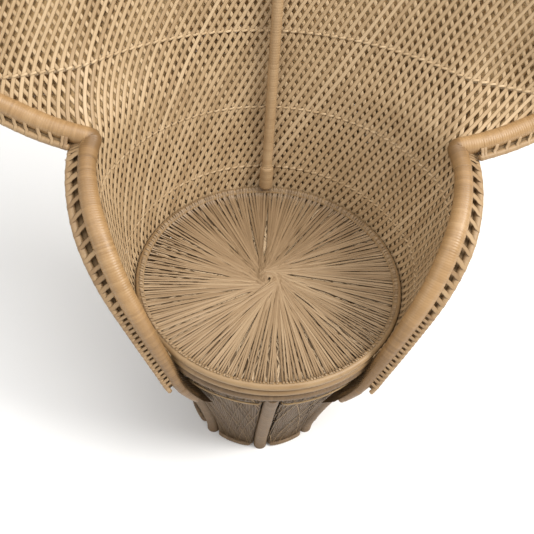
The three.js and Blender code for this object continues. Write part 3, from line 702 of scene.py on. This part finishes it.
def lacing(axis, out, roll, reach, a, b, pitch, width, hoop, seed, tone):
    """Cane whipped round the border hoop and into the side of the roll, one slanting turn after another."""
    g = np.random.default_rng(seed)
    t, length = even(axis, a, b, pitch / 2)
    n = np.cross(slope_of(axis, t), out(t))
    P, O, R, D = axis(t), out(t), roll(t), reach(t)
    way = np.array([0.0, 0.06, 0.16, 0.26, 0.33, 0.39, 0.44, 0.5, 0.56, 0.61, 0.67, 0.74, 0.84, 0.94, 1.0])
    made = []
    for i in range(0, len(t) - 2, 2):
        r, border = R[i + 1], D[i + 1]
        m = 0.5 * (r + border)
        q = float(hoop(t[i + 1])) + 0.1
        o = np.array([0.74 * r, 0.88 * r, m - 2.0, border - 0.75 * q, border - 0.15 * q, border + 0.5 * q, border + 0.87 * q, border + q, border + 0.87 * q, border + 0.5 * q, border - 0.15 * q, border - 0.75 * q, m - 2.0, 0.88 * r, 0.74 * r])
        u = np.array([0.60 * r, 0.52 * r + 0.6, 0.28 * r + 0.52 * q, q, 0.99 * q, 0.87 * q, 0.5 * q, 0.0, -0.5 * q, -0.87 * q, -0.99 * q, -q, -0.28 * r - 0.52 * q, -0.52 * r - 0.6, -0.60 * r])
        at = i + 2 * np.interp(way, [0, 0.3, 0.5, 0.7, 1.0], [0.0, 0.42, 0.5, 0.58, 1.0]) + g.normal(0, 0.05)
        at = np.clip(at, 0, len(t) - 1.001)
        j, f = at.astype(int), (at % 1)[:, None]
        mix = lambda q: q[j] * (1 - f) + q[j + 1] * f
        oo, nn = unit(mix(O)), unit(mix(n))
        path = mix(P) + oo * o[:, None] + nn * u[:, None]
        do, du = np.gradient(o), np.gradient(u)
        face = unit(oo * (-du)[:, None] + nn * do[:, None])
        shade = tone + 0.15 * float(np.clip(g.standard_normal(), -2, 2))
        made.append(strand(path, face, width * (1 + 0.08 * g.standard_normal()), 0.7, shade, 900.0 + i, FLAT6))
    return made


def shade_backing(axis, out, roll, reach, a, b, ident):
    """Flat cane behind the border holes, from the back of the roll to the back of the hoop, coloured dark brown as
    painted shade seen through the holes.
    """
    t, length = even(axis, a, b, 8.0)
    n = unit(np.cross(slope_of(axis, t), out(t)))
    inner, outer = 0.75 * roll(t), reach(t) + 1.0
    path = axis(t) + out(t) * (0.5 * (inner + outer))[:, None] - n * 2.2
    return strand(path, n, outer - inner, 1.0, 0.4, ident, FLAT4)


for k, side in ((1, "right"), (-1, "left")):
    flip = (lambda c: c) if k > 0 else mirror
    sd = 0 if k > 0 else 50
    made = wrapped(arm_axis, 0.01, 1, arm_radius, 4.4, 0.5, 26, 0.55, 0.12, dome=(0.3, 0.35), seed=41 + sd, drift=0.06)
    # Painted shade: the roll's wraps are darkened towards its lower end, below the seat, where it lies in shade; it is
    # also darker over its top end by the notch.
    made["tone"] = made["tone"] - 0.60 * smooth(SEAT_H + 170, SEAT_H - 50, made["v"][:, 2]) - 0.22 * smooth(SEAT_H + 225, SEAT_H + 252, made["v"][:, 2])
    make(f"arm_roll_wrap_{side}", [flip(made)], ROLL, (f"arm_roll_{side}",))
    make(f"fan_rim_wrap_{side}", [flip(wrapped(fan_axis, 0.008, 0.9994, fan_radius, 4.4, 0.45, 22, 0.52, 0.12, dome=(0.3, 0.0), seed=43 + sd, drift=0.06))], ROLL, (f"fan_rim_{side}",))
    make(f"arm_border_wrap_{side}", [flip(wrapped(offset(arm_axis, arm_out, arm_border), 0.0, 0.925, arm_hoop, 5.2, 0.2, 16, 0.46, 0.08, seed=45 + sd))], EDGE, (f"arm_border_hoop_{side}",))
    make(f"fan_border_wrap_{side}", [flip(wrapped(offset(fan_axis, fan_out, fan_border), 0.0, 0.9994, 5.8, 5.2, 0.2, 16, 0.46, 0.08, dome=(0.5, 0.0), seed=47 + sd))], EDGE, (f"fan_border_hoop_{side}",))
    # Close turns beside the notch, wide triangles further on, small ones at the lower end, where they are painted
    # darker as painted shade.
    made = []
    for a, b, pitch, width, tone in ((0.0, 0.06, 6.6, 6.6, 0.42), (0.06, 0.26, 20.0, 10.0, 0.46), (0.26, 0.52, 23.0, 9.0, 0.5), (0.52, 0.66, 17.0, 8.5, 0.42), (0.66, 0.92, 10.0, 6.4, 0.2)):
        made += lacing(arm_axis, arm_out, arm_radius, arm_border, a, b, pitch, width, arm_hoop, 49 + sd + round(100 * a), tone)
    make(f"arm_lacing_{side}", [flip(c) for c in made], EDGE, (f"arm_border_lacing_{side}",))
    make(f"arm_shade_backing_{side}", [flip(shade_backing(arm_axis, arm_out, arm_radius, arm_border, 0.02, 0.92, 950.0))], SHADE, (f"arm_border_lacing_{side}",))
    made = lacing(fan_axis, fan_out, fan_radius, fan_border, 0.0, 0.012, 6.6, 6.6, fan_hoop, 51 + sd, 0.42) + lacing(fan_axis, fan_out, fan_radius, fan_border, 0.012, 0.985, 22.0, 6.5, fan_hoop, 54 + sd, 0.5)
    make(f"fan_lacing_{side}", [flip(c) for c in made], EDGE, (f"fan_border_lacing_{side}",))
    make(f"fan_shade_backing_{side}", [flip(shade_backing(fan_axis, fan_out, fan_radius, fan_border, 0.004, 0.985, 951.0))], SHADE, (f"fan_border_lacing_{side}",))

    # The notch: one bound elbow from the fan rim into the arm roll.
    fa, aa = fan_axis(np.array([0.004, 0.03])), arm_axis(np.array([0.10, 0.03]))
    c0, c3 = fa[1], aa[0]
    c1, c2 = fa[0] + unit(fa[0] - fa[1]) * 64.0, aa[1] + unit(aa[1] - aa[0]) * 44.0

    def elbow(t, c0=c0, c1=c1, c2=c2, c3=c3):
        t = np.asarray(t, float)[..., None]
        u = 1 - t
        return u ** 3 * c0 + 3 * u * u * t * c1 + 3 * u * t * t * c2 + t ** 3 * c3

    def elbow_radius(t):
        return np.interp(t, [0, 0.3, 0.6, 0.85, 1.0], [17.3, 17.4, 17.4, 16.8, 16.5])

    made = wrapped(elbow, 0, 1, elbow_radius, 4.4, 0.4, 26, 0.52, 0.10, dome=(0.02, 0.02), seed=53 + sd)
    way = np.linspace(0, 1, 81)
    line = elbow(way)
    at = way[((made["v"][:, None, :] - line[None, :, :]) ** 2).sum(-1).argmin(1)]
    made["tone"] = made["tone"] - 0.62 * smooth(0.34, 0.5, at) * (1 - 0.55 * smooth(0.75, 1.0, at))
    make(f"notch_wrap_{side}", [flip(made)], ROLL, (f"notch_binding_{side}",))

    def end_radius(t):
        return arm_radius(t) + 1.0 * np.clip(np.minimum((t - 0.938) / 0.006 + 0.3, (0.993 - t) / 0.006 + 0.3), 0, 1)

    # Painted shade: the binding at the arm's lower end is coloured near the darkest of the roll, for the shade down
    # there.
    make(f"arm_end_wrap_{side}", [flip(wrapped(arm_axis, 0.938, 0.993, end_radius, 4.8, 0.4, 26, 0.06, 0.08, dome=(0.2, 0.2), seed=55 + sd))], ROLL, (f"arm_end_binding_{side}",))


def top_axis(t):
    t = np.asarray(t, float)
    p = fan_axis(np.array([1.0]))[0]
    return np.stack([-27 + 54 * t, np.full_like(t, p[1]), np.full_like(t, p[2] - 0.3)], -1)


make("fan_top_wrap", [wrapped(top_axis, 0, 1, lambda t: 17.2 + 2.2 * np.clip(np.minimum(t / 0.08 + 0.2, (1 - t) / 0.08 + 0.2), 0, 1), 4.8, 0.6, 24, 0.4, 0.14, dome=(0.12, 0.12), seed=59)], BIND, ("fan_top_binding",))


# ------------------------------------------------------------------------ seat
# Turns (from +X) where the strands lie further apart near the rim, and how wide each place is.
LOOSE = ((2.75, 0.42), (4.55, 0.50), (5.55, 0.35))


def spun(count, tangent_r, z0, rise, tilt, roll, width, thick, seed, turn, tone, spread, jitter, over):
    """Straight strands, each passing the middle on the same side and lying like the leaves of an iris; those of the upper layer end just past the middle."""
    g = np.random.default_rng(seed)
    made = []
    for i in range(count):
        th = turn + 2 * math.pi * (i + g.normal(0, jitter)) / count
        rt = tangent_r * g.uniform(0.22, 1.25) if over else tangent_r * (1 + 0.1 * g.standard_normal())
        if over:
            # Outer ends stay evenly spaced on the hoop, however far from the middle a strand passes.
            th += math.asin(0.735 * tangent_r / 242.0) - math.asin(rt / 242.0)
        loose = [0.38 * max(math.exp(-(((a - c + math.pi) % (2 * math.pi) - math.pi) / wd) ** 2) for c, wd in LOOSE) for a in (th + math.pi, th)]
        d, e = np.array([math.cos(th), math.sin(th), 0]), np.array([-math.sin(th), math.cos(th), 0])
        half = math.sqrt(242.0 ** 2 - rt ** 2)
        x = np.concatenate([np.linspace(-44, 44, 9), np.linspace(64, half, 12)]) if over else np.concatenate([np.linspace(-half, -70, 12), np.linspace(-50, 50, 7), np.linspace(70, half, 12)])
        r = np.hypot(x, rt)
        lift = rise * (1 - i / count) * np.clip(1 - r / 235, 0, 1) ** 0.7
        z = z0 + lift + tilt * x / 242.0 + g.normal(0, 0.12)
        P = e[None, :] * rt + d[None, :] * x[:, None]
        P[:, 2] = z - (5.0 * smooth(2, -42, x) if over else 0.0)
        if over:
            # The outer end climbs over the hoop's inner half.
            tail = np.array([244.5, 247.5, 250.5])
            tz = SEAT_H - HOOP_R + np.sqrt((HOOP_R + 0.8) ** 2 - (tail - SEAT_R) ** 2) + 0.5 * (tilt > 0)
            tx = np.sqrt(tail ** 2 - rt ** 2)
            up = [np.concatenate([e[:2] * rt + d[:2] * sx * q, [zz + 0.25 * sx]]) for sx in (1,) for q, zz in zip(tx, tz)]
            P = np.concatenate([P, np.array(up)])
            r = np.concatenate([r, tail])
        T = unit(np.gradient(P, axis=0))
        B = unit(np.cross(np.array([0, 0, 1.0]), T))
        N = unit(np.cross(T, B) + B * (roll + g.normal(0, 0.04)))
        w = width * np.interp(r, [0, 60, 140, 250], [0.84, 0.92, 1.0, 1.0]) * (1 + 0.06 * g.standard_normal())
        side = np.full(len(r), loose[1]) if over else np.where(np.arange(len(r)) < len(r) / 2, loose[0], loose[1])
        w = w * (1 - side * smooth(110, 185, r))
        # Painted shade and light: strands towards the back are browner for the shade there, those towards the front a
        # touch browner, and those to the sides paler for the light on them.
        shift = 0.20 * abs(math.cos(th)) - 0.34 * max(0.0, math.sin(th)) - 0.04 * max(0.0, -math.sin(th)) if over else 0.0
        made.append(strand(P, N, w, thick, tone + shift + spread * float(np.clip(g.standard_normal(), -2, 2)), 2000.0 + i, FLAT6))
    return made


SEAM = math.radians(217)


make("seat_spun_top", spun(262, 19.0, SEAT_H - 9.6, 3.4, 0.5, 0.05, 5.4, 0.6, 61, SEAM, 0.52, 0.13, 0.22, True), SEAT, ("seat_weave_top",))
# Painted light: the crossing layer under the top strands has a pale tone, so the shaded gaps between the top strands
# read light.
make("seat_spun_under", spun(104, -62.0, SEAT_H - 11.6, 0.0, 0.2, 0.0, 5.5, 0.5, 62, SEAM + 0.4, 0.90, 0.12, 0.05, False) + spun(120, 6.0, SEAT_H - 14.0, 0.2, 0.2, 0.0, 13.5, 0.6, 68, SEAM, 0.20, 0.08, 0.05, False), SEAT_UNDER, ("seat_weave_under",))

make("seat_hoop_upper_cane", [bare_ring(SEAT_R, HOOP_R - 0.2, SEAT_H - HOOP_R, 220, 16, 0.62, 63)], HOOP, ("seat_hoop_upper",))
make("seat_hoop_middle_cane", [bare_ring(SEAT_R, HOOP_R - 0.2, SEAT_H - HOOP_R - HOOP_PITCH, 220, 16, 0.5, 64)], HOOP, ("seat_hoop_middle",))
make("seat_hoop_lower_wrap", [hoop_ring(SEAT_R, HOOP_R - 0.2, SEAT_H - HOOP_R - 2 * HOOP_PITCH, 230, 0.5, 14, 0.45, 0.12, 65)], POST, ("seat_hoop_lower",))


def pole_pair(axis_x, z, seed):
    made = []
    for k in (-1, 1):
        def f(t, k=k):
            t = np.asarray(t, float)
            a, b = -239.5 + 479.0 * t, np.full_like(t, 6.5 * k)
            return np.stack([a, b, np.full_like(t, z)] if axis_x else [b, a, np.full_like(t, z)], -1)
        t = np.linspace(0, 1, 90)
        g = np.random.default_rng(seed + k)
        wave = np.interp(t, np.linspace(0, 1, 8), g.standard_normal(8))
        knot = sum(np.exp(-((t - c) * 160) ** 2) for c in g.uniform(0.1, 0.9, 3))
        c = rings(f(t), 6.1 + 0.12 * wave + 0.3 * knot, 14, 0.45 + 0.08 * wave - 0.2 * knot, 0.0, float(seed + k), dome=(0.15, 0.15))
        made.append(c)
    return made


make("seat_bar_side_poles", pole_pair(True, SEAT_H - 17.2 - 6.5, 71), BASE, ("seat_cross_bar_side",))
make("seat_bar_front_poles", pole_pair(False, SEAT_H - 17.2 - 13 - 0.6 - 6.5, 73), BASE, ("seat_cross_bar_front",))


# ------------------------------------------------------------------------ base
POST_TOP = SEAT_H - 2 * HOOP_PITCH - 2 * HOOP_R - 0.6
for i in range(POST_COUNT):
    ang = 2 * math.pi * i / POST_COUNT

    def post(t, ang=ang):
        z = POST_TOP * (1 - np.asarray(t, float))
        r = post_radius(z)
        return np.stack([r * math.sin(ang), base_back(-r * math.cos(ang), z), z], -1)

    c = wrapped(post, 0, 1, POST_R - 0.4, 5.6, 0.7, 20, 0.45, 0.14, dome=(0.0, 0.0), seed=80 + i, drift=0.05)
    c["v"][:, 2] = np.clip(c["v"][:, 2], 0.0, POST_TOP)
    make(f"base_post_wrap_{i + 1}", [c], POST, (f"base_post_{i + 1}",))


SKIN_BULGE, SKIN_BACK, SECTOR = 5.0, 18.0, 360.0 / POST_COUNT


def wave_r(psi, z, back=SKIN_BACK, out=0.0):
    """Radius of the base weave: outside the posts' centre line between two posts, and behind each post."""
    r = post_radius(z)
    lean = np.hypot(1, (post_radius(z + 1) - post_radius(z - 1)) / 2)
    d = np.abs((psi + SECTOR / 2) % SECTOR - SECTOR / 2) * np.pi / 180 * r
    off = np.where(d < back, -np.sqrt(np.maximum(back * back - d * d, 0)), SKIN_BULGE * smooth(back, back + 6, d))
    return r + (off + out) * lean


def base_point(psi, z, r):
    a = np.radians(psi)
    return np.stack([r * np.sin(a), base_back(-r * np.cos(a), z), z], -1)


def base_face(psi, z, r):
    a = np.radians(psi)
    slope = (post_radius(z + 1) - post_radius(z - 1)) / 2
    return unit(np.stack([np.sin(a), -np.cos(a), -slope], -1))


def base_strands(z0, z1, seed):
    """Broad dark strips standing side by side, with thin light strands crossing over them."""
    g = np.random.default_rng(seed)
    made = []
    z = np.linspace(z0, z1, max(8, int((z1 - z0) / 8)))
    for i in range(240):
        psi = np.full_like(z, (i + 0.5) * 360.0 / 240)
        r = wave_r(psi, z, back=14.8, out=-1.4)
        made.append(strand(base_point(psi, z, r), base_face(psi, z, r), r * math.radians(360.0 / 240) * 1.3, 1.2, 0.24 + 0.05 * g.standard_normal(), 3500.0 + i, FLAT4))
    count, lean = 112, 0.055
    pitch = 360.0 / count
    z = np.linspace(z0, z1, max(10, int((z1 - z0) / 5)))
    for sg in (1.0, -1.0):
        for i in range(count):
            if g.uniform() < 0.45:
                continue
            psi = i * pitch + sg * lean * z * (1 + g.normal(0, 0.12)) + g.normal(0, 0.22 * pitch)
            r = wave_r(psi, z, back=15.4, out=0.4 + 0.55 * (sg + 1))
            w = (1.7 + 0.3 * g.standard_normal()) * np.clip(r / 165.0, 0.85, 1.3)
            made.append(strand(base_point(psi, z, r), base_face(psi, z, r), w, 0.9, 0.50 + 0.18 * float(np.clip(g.standard_normal(), -2, 2)), 3000.0 + i + (0.5 if sg < 0 else 0), FLAT4))
    return made


def base_line(level, half, seed):
    psi = np.linspace(0, 360, 480, endpoint=False)
    z = np.full_like(psi, level)
    g = np.random.default_rng(seed)
    return rings(base_point(psi, z, wave_r(psi, z, out=2.4)), half, 8, 0.95 + 0.05 * np.repeat(g.standard_normal(60), 8), 0.0, 0.0, closed=True)


make("base_lattice", base_strands(11, 351, 91) + [base_line(324.0, 1.9, 96)], BASE, ("base_weave",))


for k, side in ((1, "right"), (-1, "left")):
    # Strands that close the corner between the arm's lower end, the hoops and the base.
    flip = (lambda c: c) if k > 0 else mirror
    g = np.random.default_rng(97)
    made = []
    for i in range(46):
        t = np.array([0.62 + 0.375 * i / 45])
        p, r0 = arm_axis(t)[0], float(arm_radius(t)[0])
        psi = math.degrees(math.atan2(p[0], -p[1]))
        z0 = p[2] - 0.5 * r0
        z1 = min(z0 - 46.0, 330.0)
        z = np.linspace(z0, z1, 12)
        way = (z0 - z) / (z0 - z1)
        a = np.full_like(z, psi - 3.0 * way.max())
        near = wave_r(a, z, back=14.8, out=1.2)
        near = np.where(z > 350, np.maximum(near, 259.6 + 8.0 * smooth(398, 412, z) + 0.36 * np.maximum(z - 408, 0)), near)
        r = np.maximum(near, (math.hypot(p[0], p[1]) - 0.4 * r0) * (1 - way) + near[-1] * way)
        made.append(strand(base_point(a, z, r) - np.array([0, 1.0, 0]) * (base_back(0.0, z))[:, None], base_face(a, z, r), 9.0, 1.0, 0.42 + 0.06 * g.standard_normal(), 3700.0 + i, FLAT4))
    make(f"arm_corner_strands_{side}", [flip(c) for c in made], BASE, (f"arm_end_binding_{side}",))


def floor_band():
    psi = np.linspace(0, 360, 640, endpoint=False)
    z = np.full_like(psi, 6.0)
    k = np.arange(640)
    g = np.random.default_rng(93)
    shade = 0.5 + 0.12 * g.standard_normal(160)
    c = rings(base_point(psi, z, wave_r(psi, z, back=POST_R + 7.0)), 5.3 + 0.5 * (WRAP[k % 4] - 0.5), 10, shade[k // 4], (k % 4) / 4.0 - 0.375, (k // 4) * 1.0, closed=True)
    c["v"][:, 2] = np.maximum(c["v"][:, 2], 0.3)
    return c


make("floor_ring_wrap", [floor_band()], POST, ("floor_ring",))
inner_ring = bare_ring(float(post_radius(RING_Z)) - 33.0, 6.8, RING_Z, 160, 14, 0.4, 95)
inner_ring["v"][:, 1] = base_back(inner_ring["v"][:, 1], inner_ring["v"][:, 2])
make("base_inner_ring_cane", [inner_ring], BASE, ("base_inner_ring",))


# ---------------------------------------------------------------------- stage
def floor_material():
    m = bpy.data.materials.new("pale_floor")
    m.use_nodes = True
    nt = m.node_tree
    b = nt.nodes["Principled BSDF"]
    b.inputs["Roughness"].default_value = 0.9
    b.inputs["Specular IOR Level"].default_value = 0.1
    n = nt.nodes.new("ShaderNodeTexNoise")
    n.inputs["Scale"].default_value = 1.5
    r = nt.nodes.new("ShaderNodeValToRGB")
    r.color_ramp.elements[0].color = (0.90, 0.90, 0.895, 1)
    r.color_ramp.elements[1].color = (0.93, 0.93, 0.925, 1)
    nt.links.new(n.outputs["Fac"], r.inputs["Fac"])
    nt.links.new(r.outputs["Color"], b.inputs["Base Color"])
    return m


def floor():
    seg, far = 48, 20.0
    v, f = [(0.0, 0.0, -0.0006)], []
    for ring_i, rad in enumerate((2.0, 6.0, far)):
        v += [(rad * math.cos(2 * math.pi * k / seg), rad * math.sin(2 * math.pi * k / seg), -0.0006) for k in range(seg)]
    for k in range(seg):
        f.append((0, 1 + k, 1 + (k + 1) % seg))
        for ring_i in range(2):
            a, b = 1 + ring_i * seg, 1 + (ring_i + 1) * seg
            f.append((a + k, b + k, b + (k + 1) % seg, a + (k + 1) % seg))
    mesh = bpy.data.meshes.new("floor")
    mesh.from_pydata(v, [], f)
    mesh.materials.append(floor_material())
    o = bpy.data.objects.new("floor", mesh)
    bpy.context.scene.collection.objects.link(o)


floor()


def area(name, place, aim, size, watts, colour):
    d = bpy.data.lights.new(name, "AREA")
    d.shape, d.size, d.energy, d.color = "DISK", size, watts, colour
    o = bpy.data.objects.new(name, d)
    bpy.context.scene.collection.objects.link(o)
    o.location = place
    from mathutils import Vector
    o.rotation_mode = "QUATERNION"
    o.rotation_quaternion = (Vector(aim) - Vector(place)).to_track_quat("-Z", "Y")
    return o


area("key", (2.6, -1.0, 3.3), (0, 0, 0.6), 2.0, 168.0, (1.0, 0.985, 0.96))
area("fill", (-2.2, -1.8, 3.0), (0, 0, 0.6), 2.6, 42.0, (1.0, 0.99, 0.98))
area("top", (0.2, -0.5, 4.2), (0, 0, 0.4), 2.8, 74.0, (1.0, 1.0, 1.0))
world = bpy.data.worlds.new("studio")
world.use_nodes = True
world.node_tree.nodes["Background"].inputs["Color"].default_value = (1.0, 0.995, 0.985, 1)
world.node_tree.nodes["Background"].inputs["Strength"].default_value = 0.55
bpy.context.scene.world = world
bpy.context.scene.view_settings.view_transform = "Standard"
bpy.context.scene.view_settings.look = "None"

# Camera fitted to the photograph: seat centre, seat ring, arms, notch, pole and floor line.
CAM_AZ, CAM_EL, CAM_D, CAM_ROLL, CAM_F = -6.4, 48.8, 1.642, 5.7, 846.0
FRAME_PX, CENTRE_PX = 534.0, (269.6, 276.0)
from mathutils import Matrix, Vector
az, el = math.radians(CAM_AZ), math.radians(CAM_EL)
back = Vector((math.sin(az) * math.cos(el), -math.cos(az) * math.cos(el), math.sin(el)))
cam_data = bpy.data.cameras.new("camera")
cam_data.sensor_width = 36.0
cam_data.lens = CAM_F / FRAME_PX * 36.0
cam_data.shift_x = -(CENTRE_PX[0] - FRAME_PX / 2) / FRAME_PX
cam_data.shift_y = (CENTRE_PX[1] - FRAME_PX / 2) / FRAME_PX
cam_data.clip_start, cam_data.clip_end = 0.05, 60.0
cam = bpy.data.objects.new("camera", cam_data)
bpy.context.scene.collection.objects.link(cam)
cam.rotation_mode = "QUATERNION"
cam.location = Vector((0, SHIFT_Y, SEAT_H * MM)) + back * CAM_D
turn = (-back).to_track_quat("-Z", "Y").to_matrix()
cam.rotation_quaternion = (turn @ Matrix.Rotation(math.radians(CAM_ROLL), 3, "Z")).to_quaternion()
bpy.context.scene.camera = cam
